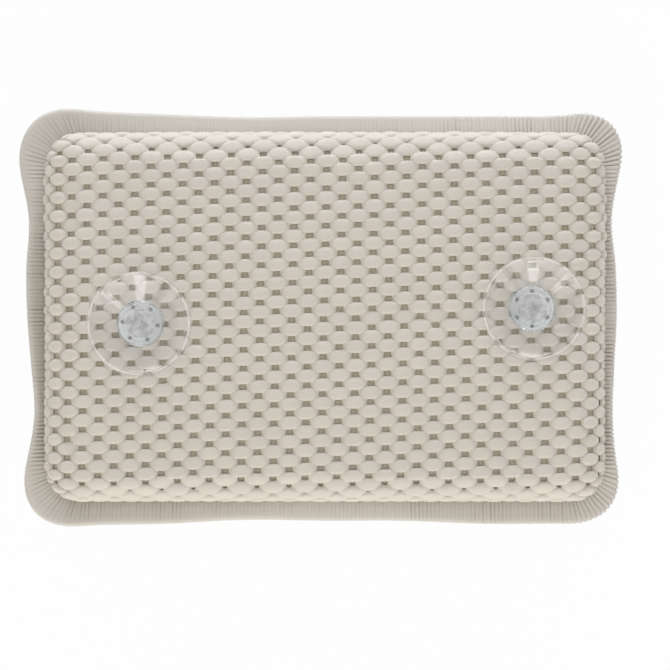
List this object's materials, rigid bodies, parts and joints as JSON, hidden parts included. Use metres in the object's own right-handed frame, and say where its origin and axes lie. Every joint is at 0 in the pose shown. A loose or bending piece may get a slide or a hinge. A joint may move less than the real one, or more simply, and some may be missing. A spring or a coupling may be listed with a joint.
{
  "type": "bath pillow",
  "caption": "Rectangular bath pillow with beaded foam-mesh covers, a ribbed edge band and clear suction cups that turn and tilt on its back.",
  "frame": {"origin": "middle of the flat front face, on the surface that the pillow lies on", "axes": "+X along the length, +Y across the width, +Z from the front face to the back with its suction cups"},
  "size_m": [0.3301, 0.2282, 0.0754],
  "materials": {
    "cover_foam": "matte foamed vinyl on an open mesh, oval beads",
    "band_foam": "matte foamed vinyl strip with fine ribs",
    "core_foam": "open-cell foam",
    "clear_vinyl": "clear soft vinyl, glossy"
  },
  "bodies": {
    "pillow": {"back_cover": "cover_foam", "front_cover": "cover_foam", "edge_band": "band_foam", "foam_core": "core_foam"},
    "left_swivel": {"left_collar": "clear_vinyl", "left_washer": "clear_vinyl"},
    "left_suction": {"left_cup": "clear_vinyl"},
    "right_swivel": {"right_collar": "clear_vinyl", "right_washer": "clear_vinyl"},
    "right_suction": {"right_cup": "clear_vinyl"}
  },
  "joints": [
    {"name": "left_turn", "type": "hinge", "parent": "pillow", "child": "left_swivel", "pos_m": [-0.098, -0.0035, 0.05941], "axis": [0, 0, 1], "continuous": true},
    {"name": "left_tilt", "type": "hinge", "parent": "left_swivel", "child": "left_suction", "pos_m": [-0.098, -0.0035, 0.05941], "axis": [1, 0, 0], "range_deg": [-6, 6], "stiffness_Nm_per_rad": 0.05},
    {"name": "right_turn", "type": "hinge", "parent": "pillow", "child": "right_swivel", "pos_m": [0.11, 0.0045, 0.05907], "axis": [0, 0, 1], "continuous": true},
    {"name": "right_tilt", "type": "hinge", "parent": "right_swivel", "child": "right_suction", "pos_m": [0.11, 0.0045, 0.05907], "axis": [1, 0, 0], "range_deg": [-6, 6], "stiffness_Nm_per_rad": 0.05}
  ]
}
